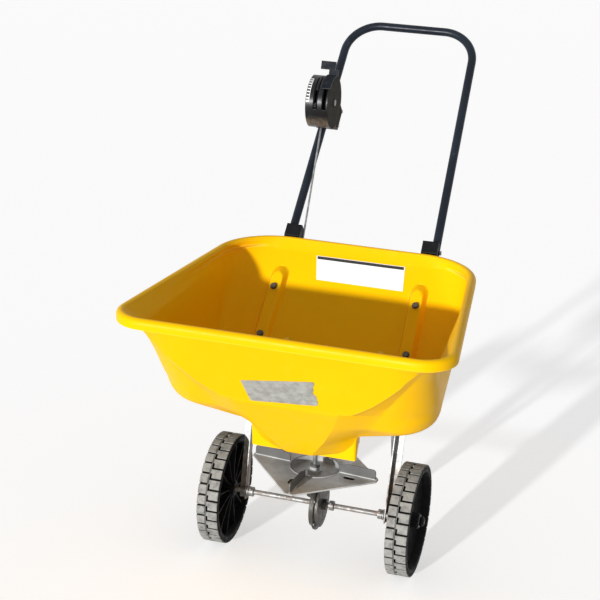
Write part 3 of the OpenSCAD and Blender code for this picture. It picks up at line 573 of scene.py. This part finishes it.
def buildHopper():
    h = hopperShape
    heights = [246, 247, 250, 251.6, 252.4, 253.4, 254.6, 255.6, 258, 262, 267] + list(np.arange(272, 384, 4.0))
    heights += [384, 385.6, 386.3, 388, 391] + list(np.arange(395, 464, 4.0))
    heights += list(np.arange(465, 486, 2.0)) + list(np.arange(488, 508, 4.0)) + [508]
    rings, levels = [], []
    for z in heights:
        rings.append(wallRing(z, 0)), levels.append(z)
    rim = h["rim"]
    for k in range(len(rim)):
        rings.append(rimRing(rim[k][0])), levels.append(rim[k][1])
        if k >= 4 and k < len(rim) - 1:
            # the rolled edge takes a point between each two, pushed out to stay round
            mid = ((rim[k][0] + rim[k + 1][0]) / 2, (rim[k][1] + rim[k + 1][1]) / 2)
            out = (0.0, 0.0) if k == 4 else (-0.12 * abs(rim[k + 1][1] - rim[k][1]) * 0.5,
                                             0.12 * abs(rim[k + 1][0] - rim[k][0]) * 0.5)
            rings.append(rimRing(max(0.0, mid[0] + out[0]))), levels.append(min(530, mid[1] + out[1]))
    inset, rise = 0.95 * h["wall"], 1.05 * h["wall"]
    for z in reversed(heights):
        rings.append(wallRing(z, inset)), levels.append(z + rise)
    around = len(rings[0])
    points = [fromAxle(x, y, z) for ring, z in zip(rings, levels) for x, y in ring]
    faces = ringFaces(len(rings), around)
    points += [fromAxle(0, -28, 246), fromAxle(0, -28, 246 + rise)]
    under, floor = len(points) - 2, len(points) - 1
    top = (len(rings) - 1) * around
    faces += [(under, (j + 1) % around, j) for j in range(around)]
    faces += [(floor, top + j, top + (j + 1) % around) for j in range(around)]
    return addPiece("hopperShell", points, faces, "frame", yellow, 24, ["hopper"])


buildHopper()
print("hopper built")


# ---- wheels ----

wheelShape = {
    "radius": 101.6, "width": 40, "track": 348, "lugsAround": 32, "grooveWidth": 3.1, "lugHeight": 5.4,
    "narrowRow": (-19.6, -3.7), "wideRow": (-1.9, 19.6), "middleRib": (-3.3, -2.3), "notchWidth": 3.0,
    "notchLength": 8.6, "spokes": 12,
    # outline of the moulding from the bore to the tread and back, as radius and distance along the axle
    "side": [(5.2, -20), (13.6, -20), (15, -18.6), (15.6, -7), (18, -4.6), (30, -5.4), (58, -8), (80, -7.4), (84, -9),
             (87, -17.6), (88.4, -19.4), (91, -20), (94.6, -19.6), (96.2, -18)],
    "far": [(96.2, 18), (94.6, 19.6), (91, 20), (89, 19.2), (88, 17), (86.6, 4.2), (83, 1.2), (60, -2.4), (34, -1.2),
            (19, -0.6), (16.4, 1), (15, 3.4), (14.4, 18.6), (13.2, 20), (5.2, 20)],
}


def onTread(angle, radius, along):
    # the angle rises up the front of the wheel
    return (along, -radius * math.cos(angle), radius * math.sin(angle))


def addLug(points, faces, angle, outline, low, high):
    # block on the tread, its outline in millimetres along the axle and round the wheel, with a soft top edge
    r = wheelShape["radius"]
    middle = (sum(p[0] for p in outline) / len(outline), sum(p[1] for p in outline) / len(outline))
    start = len(points)
    for level, inset in ((low, 0.0), (high - 0.7, 0.25), (high, 0.95)):
        for a, c in outline:
            away = math.hypot(a - middle[0], c - middle[1])
            share = 1 - inset * 1.3 / max(away, 1)
            points.append(onTread(angle + (middle[1] + (c - middle[1]) * share) / r, level,
                                  middle[0] + (a - middle[0]) * share))
    n = len(outline)
    for ring in range(2):
        for j in range(n):
            a, b = start + ring * n + j, start + ring * n + (j + 1) % n
            faces.append((a, b, b + n, a + n))
    faces.append(tuple(start + 2 * n + j for j in range(n)))


def treadBlocks(points, faces):
    w = wheelShape
    pitch = 2 * math.pi * w["radius"] / w["lugsAround"]
    half = (pitch - w["grooveWidth"]) / 2
    low, high = w["radius"] - w["lugHeight"] - 0.3, w["radius"]
    for i in range(w["lugsAround"]):
        turn = i * 2 * math.pi / w["lugsAround"]
        a0, a1 = w["narrowRow"]
        addLug(points, faces, turn, [(a0, -half), (a1, -half), (a1, 0), (a1, half), (a0, half), (a0, 0)], low, high)
        a0, a1 = w["wideRow"]
        cut, up = a0 + w["notchWidth"], w["notchLength"] - half
        addLug(points, faces, turn + pitch / 2 / w["radius"],
               [(cut, -half), (a1, -half), (a1, 0), (a1, half), (a0, half), (a0, up), (cut, up)], low, high)


def sweptRound(points, faces, profile, count, closed=True):
    # turns an outline of radius and distance about the axle
    start = len(points)
    for i in range(count):
        angle = 2 * math.pi * i / count
        points += [onTread(angle, r, x) for r, x in profile]
    n = len(profile)
    for i in range(count):
        for j in range(n if closed else n - 1):
            a, b = start + i * n + j, start + i * n + (j + 1) % n
            c, d = start + ((i + 1) % count) * n + (j + 1) % n, start + ((i + 1) % count) * n + j
            faces.append((a, d, c, b))


def buildWheel(name, side, body, node):
    w = wheelShape
    points, faces = [], []
    # both wheels show their ribs on the inner side, and carry the same tread
    outline = [(r, -side * x) for r, x in w["side"] + w["far"]] if side < 0 else w["side"] + w["far"]
    sweptRound(points, faces, outline if side > 0 else list(reversed(outline)), 128)
    r, (a, b) = w["radius"], w["middleRib"]
    sweptRound(points, faces, [(95.5, a), (r - 0.8, a), (r - 0.5, a + 0.2), (r - 0.5, b - 0.2), (r - 0.8, b), (95.5, b)], 96)
    treadBlocks(points, faces)
    for i in range(w["spokes"]):
        turn = (i + 0.5) * 2 * math.pi / w["spokes"]
        along, wide = math.cos(turn), math.sin(turn)
        start = len(points)
        for radius, depth, thick in ((14, -15.5, 1.4), (40, -13.5, 1.2), (86, -12.5, 1.4)):
            for s in (-1, 1):
                for x, t in ((-3, thick + 0.5), (depth, thick)):
                    points.append((side * x, -radius * along - s * t * wide, radius * wide - s * t * along))
        for k in range(2):
            q = start + k * 4
            for a, b in ((0, 1), (1, 3), (3, 2), (2, 0)):
                faces.append((q + a, q + b, q + b + 4, q + a + 4))
    placed = [fromAxle(side * w["track"] / 2 + x, y, z + w["radius"]) for x, y, z in points]
    piece = addPiece(name, placed, faces, body, tyre, 32, [node])
    return piece


buildWheel("wheelRight", 1, "axle", "drive_wheel")
buildWheel("wheelLeft", -1, "free_wheel", "free_wheel")
print("wheels built")


# ---- tape and label on the hopper ----

patches = {
    # corners as x and height on the front panel, from the top left round to the bottom left
    "tape": [(-68.9, 430.1), (54.1, 450.3), (58.6, 399.5), (-57, 388.5)],
    "tapeThick": 0.35, "tapeRipple": 0.55, "tornEdge": 2.2,
    # corners as x and distance below the rim along the rear wall, in the same order
    "label": [(-72.6, -70), (96, -69.5), (101.8, -118.5), (-61.9, -118.2)],
    "labelDepth": 28.4, "labelThick": 0.35, "strip": (0.02, 0.14),
}


def between(corners, u, v):
    a, b, c, d = corners
    return [(a[i] * (1 - u) + b[i] * u) * (1 - v) + (d[i] * (1 - u) + c[i] * u) * v for i in (0, 1)]


def buildSheet(name, place, columns, rows, finish):
    # thin closed sheet, where place gives a point from its shares across and down and its side
    points = [place(i / columns, j / rows, side) for side in (1, 0) for j in range(rows + 1)
              for i in range(columns + 1)]
    wide, half = columns + 1, (columns + 1) * (rows + 1)
    faces = []
    for j in range(rows):
        for i in range(columns):
            a = j * wide + i
            faces.append((a, a + 1, a + 1 + wide, a + wide))
            faces.append((half + a, half + a + wide, half + a + 1 + wide, half + a + 1))
    border = ([i for i in range(wide)] + [j * wide + columns for j in range(1, rows + 1)] +
              [rows * wide + i for i in range(columns - 1, -1, -1)] + [j * wide for j in range(rows - 1, 0, -1)])
    for k, a in enumerate(border):
        b = border[(k + 1) % len(border)]
        faces.append((a, a + half, b + half, b))
    return addPiece(name, points, faces, "frame", finish, 50)


def onFrontPanel(x, z, out):
    # the panel between its foot and the rim is flat
    (z0, y0), (z1, y1) = hopperShape["bellyFront"][-2:]
    slope = (y1 - y0) / (z1 - z0)
    length = math.hypot(1, slope)
    return fromAxle(x, y0 + slope * (z - z0) - out / length, z + out * slope / length)


def onRearWall(x, run, depth):
    h = hopperShape
    return fromAxle(x, h["legY"] - depth * math.cos(leanAngle) + run * math.sin(leanAngle),
                    h["legZ"] + depth * math.sin(leanAngle) + run * math.cos(leanAngle))


def tapePlace(u, v, side):
    torn = patches["tornEdge"] * (math.sin(9 * v + 1) + 0.5 * math.sin(23 * v)) * max(0, u - 0.9) * 10
    x, z = between(patches["tape"], u, v)
    ripple = patches["tapeRipple"] * abs(math.sin(11 * u + 3 * v) * math.sin(7 * v + 4 * u + 0.6))
    return onFrontPanel(x + torn, z, 0.25 + side * (patches["tapeThick"] + ripple))


def labelPlace(u, v, side):
    x, run = between(patches["label"], u, v)
    wave = 0.25 * math.sin(8 * u + 2 * v) ** 2 + 0.2 * math.sin(5 * v + 1) ** 2
    return onRearWall(x, run, patches["labelDepth"] + side * (patches["labelThick"] + wave))


def stripPlace(u, v, side):
    low, high = patches["strip"]
    w = low + (high - low) * v
    x, run = between(patches["label"], 0.01 + 0.98 * u, w)
    wave = 0.25 * math.sin(8 * (0.01 + 0.98 * u) + 2 * w) ** 2 + 0.2 * math.sin(5 * w + 1) ** 2
    return onRearWall(x, run, patches["labelDepth"] + patches["labelThick"] + wave + 0.15 * side)


buildSheet("greyTape", tapePlace, 40, 16, tape)
buildSheet("rearLabel", labelPlace, 36, 12, paper)
buildSheet("labelStrip", stripPlace, 36, 2, inkStrip)
print("tape and label built")


# ---- caked slots of the impeller ----

cakedSlots = {"centreX": -4, "top": 173.4, "thick": 1.0, "cornerAngle": -96, "from": 66, "to": 78, "aside": -15,
              "radius": 4.8, "steps": 10}


def buildCakedSlots():
    # granules and dirt close the four drain slots just under the plate's surface
    c = cakedSlots
    points, faces = [], []
    for corner in range(4):
        turn = math.radians(c["cornerAngle"] + 90 * corner)
        outline = [(c["to"] + c["radius"] * math.cos(a), c["aside"] + c["radius"] * math.sin(a))
                   for a in np.linspace(-math.pi / 2, math.pi / 2, c["steps"])]
        outline += [(c["from"] + c["radius"] * math.cos(a), c["aside"] + c["radius"] * math.sin(a))
                    for a in np.linspace(math.pi / 2, 3 * math.pi / 2, c["steps"])]
        start, n = len(points), len(outline)
        for z in (c["top"], c["top"] - c["thick"]):
            points += [fromAxle(c["centreX"] + math.cos(turn) * u - math.sin(turn) * v,
                                math.sin(turn) * u + math.cos(turn) * v, z) for u, v in outline]
        faces.append(tuple(start + j for j in range(n)))
        faces.append(tuple(start + n + j for j in reversed(range(n))))
        faces += [(start + j, start + n + j, start + n + (j + 1) % n, start + (j + 1) % n) for j in range(n)]
    addPiece("cakedSlots", points, faces, "impeller", caked)


buildCakedSlots()
print("impeller's slots filled")


# ---- console scale ----

drumShape = {"y": -48, "z": 246, "radius": 50, "scaleX": (144.2, 145.2), "tickX": (145.2, 150.6), "tickFrom": 64,
             "tickTo": 124, "ticks": 9, "tickWidth": 2.7, "raise": 0.25, "sealFrom": 58, "sealTo": 138,
             "seals": ((110.7, 112.9), (117.3, 119.5), (128.0, 130.2), (134.4, 136.6))}


def onDrum(x, angle, radius):
    # x outward along the left leg's side, the angle counted from the drum's top round to its front
    y = drumShape["y"] - radius * math.sin(math.radians(angle))
    z = drumShape["z"] + radius * math.cos(math.radians(angle))
    h = hopperShape
    return fromAxle(-x, h["legY"] + y * math.cos(leanAngle) + z * math.sin(leanAngle),
                    h["legZ"] - y * math.sin(leanAngle) + z * math.cos(leanAngle))


def addBand(points, faces, xRange, angles, count):
    d = drumShape
    start = len(points)
    for i in range(count + 1):
        angle = angles[0] + (angles[1] - angles[0]) * i / count
        points += [onDrum(x, angle, r) for x, r in ((xRange[0], d["radius"] - 0.3), (xRange[0], d["radius"] + d["raise"]),
                                                    (xRange[1], d["radius"] + d["raise"]), (xRange[1], d["radius"] - 0.3))]
    for i in range(count):
        for j in range(4):
            a, b = start + i * 4 + j, start + i * 4 + (j + 1) % 4
            faces.append((a, b, b + 4, a + 4))
    end = start + count * 4
    faces += [(start, start + 1, start + 2, start + 3), (end + 3, end + 2, end + 1, end)]


def buildScale():
    d = drumShape
    points, faces = [], []
    addBand(points, faces, d["scaleX"], (d["tickFrom"], d["tickTo"]), 20)
    half = math.degrees(d["tickWidth"] / d["radius"]) / 2
    for i in range(d["ticks"]):
        angle = d["tickFrom"] + half + (d["tickTo"] - d["tickFrom"] - 2 * half) * i / (d["ticks"] - 1)
        addBand(points, faces, d["tickX"], (angle - half, angle + half), 2)
    addPiece("consoleScale", points, faces, "frame", paintWhite)
    points, faces = [], []
    for xRange in d["seals"]:
        addBand(points, faces, xRange, (d["sealFrom"], d["sealTo"]), 24)
    addPiece("slotSeals", points, faces, "frame", matte)


buildScale()
print("console scale built")


# ---- floor, light and camera ----

studio = {"floorTone": 0.80, "floorLift": 0.5, "skyLight": 0.36, "sunPower": 3.9, "sunSize": 2.0,
          "sunPath": (0.263, 0.96, -0.159)}


def buildStage():
    size = 14
    mesh = bpy.data.meshes.new("studioFloor")
    mesh.from_pydata([(-size, -size, 0), (size, -size, 0), (size, size, 0), (-size, size, 0)], [], [(0, 1, 2, 3)])
    floor = bpy.data.objects.new("studioFloor", mesh)
    bpy.context.scene.collection.objects.link(floor)
    material = bpy.data.materials.new("floorPaper")
    material.use_nodes = True
    nodes, links = material.node_tree.nodes, material.node_tree.links
    shader, output = nodes["Principled BSDF"], nodes["Material Output"]
    tone = studio["floorTone"]
    shader.inputs["Base Color"].default_value = (tone, tone, tone, 1)
    shader.inputs["Roughness"].default_value = 0.9
    shader.inputs["Specular IOR Level"].default_value = 0.1
    glow = nodes.new("ShaderNodeEmission")
    glow.inputs["Strength"].default_value = studio["floorLift"]
    dark = nodes.new("ShaderNodeEmission")
    dark.inputs["Strength"].default_value = 0
    seen = seenByEye(nodes, links)
    pick, add = nodes.new("ShaderNodeMixShader"), nodes.new("ShaderNodeAddShader")
    links.new(seen, pick.inputs[0])
    links.new(dark.outputs[0], pick.inputs[1])
    links.new(glow.outputs[0], pick.inputs[2])
    links.new(shader.outputs[0], add.inputs[0])
    links.new(pick.outputs[0], add.inputs[1])
    links.new(add.outputs[0], output.inputs[0])
    mesh.materials.append(material)


def seenByEye(nodes, links):
    # 1 where the camera, a mirror or glass looks
    path = nodes.new("ShaderNodeLightPath")
    first, second = nodes.new("ShaderNodeMath"), nodes.new("ShaderNodeMath")
    first.operation = second.operation = "MAXIMUM"
    links.new(path.outputs["Is Camera Ray"], first.inputs[0])
    links.new(path.outputs["Is Glossy Ray"], first.inputs[1])
    links.new(first.outputs[0], second.inputs[0])
    links.new(path.outputs["Is Transmission Ray"], second.inputs[1])
    return second.outputs[0]


def buildLight():
    world = bpy.data.worlds.new("studio")
    bpy.context.scene.world = world
    world.use_nodes = True
    nodes, links = world.node_tree.nodes, world.node_tree.links
    nodes.clear()
    output = nodes.new("ShaderNodeOutputWorld")
    light, paper, pick = (nodes.new("ShaderNodeBackground"), nodes.new("ShaderNodeBackground"),
                          nodes.new("ShaderNodeMixShader"))
    light.inputs["Strength"].default_value = studio["skyLight"]
    light.inputs["Color"].default_value = (1, 1, 1, 1)
    paper.inputs["Color"].default_value = (1, 1, 1, 1)
    links.new(seenByEye(nodes, links), pick.inputs[0])
    links.new(light.outputs[0], pick.inputs[1])
    links.new(paper.outputs[0], pick.inputs[2])
    links.new(pick.outputs[0], output.inputs[0])
    # low key from the front left, as the shadow inside the hopper shows
    lamp = bpy.data.lights.new("key", "SUN")
    lamp.energy = studio["sunPower"]
    lamp.angle = math.radians(studio["sunSize"])
    key = bpy.data.objects.new("key", lamp)
    bpy.context.scene.collection.objects.link(key)
    key.rotation_euler = Vector(studio["sunPath"]).to_track_quat("-Z", "Y").to_euler()


cameraView = {"place": (666.49, -2435.74, 1424.37), "yaw": 0.2840, "pitch": 0.3531, "roll": 0.0395,
              "focusPixels": 1550.94, "imagePixels": 600, "sensor": 36.0}


def buildCamera():
    v = cameraView
    side = Vector((math.cos(v["yaw"]), math.sin(v["yaw"]), 0))
    ahead = Vector((-math.sin(v["yaw"]) * math.cos(v["pitch"]), math.cos(v["yaw"]) * math.cos(v["pitch"]),
                    -math.sin(v["pitch"])))
    up = side.cross(ahead)
    right = math.cos(v["roll"]) * side + math.sin(v["roll"]) * up
    top = -math.sin(v["roll"]) * side + math.cos(v["roll"]) * up
    data = bpy.data.cameras.new("photoCamera")
    data.sensor_width = v["sensor"]
    data.lens = v["focusPixels"] / v["imagePixels"] * v["sensor"]
    data.clip_end = 60
    camera = bpy.data.objects.new("photoCamera", data)
    bpy.context.scene.collection.objects.link(camera)
    turn = Matrix((right, top, -ahead)).transposed().to_4x4()
    camera.matrix_world = Matrix.Translation(fromAxle(*v["place"])) @ turn
    bpy.context.scene.camera = camera


buildStage()
buildLight()
buildCamera()
bpy.context.scene.view_settings.view_transform = "Standard"
print("studio built")
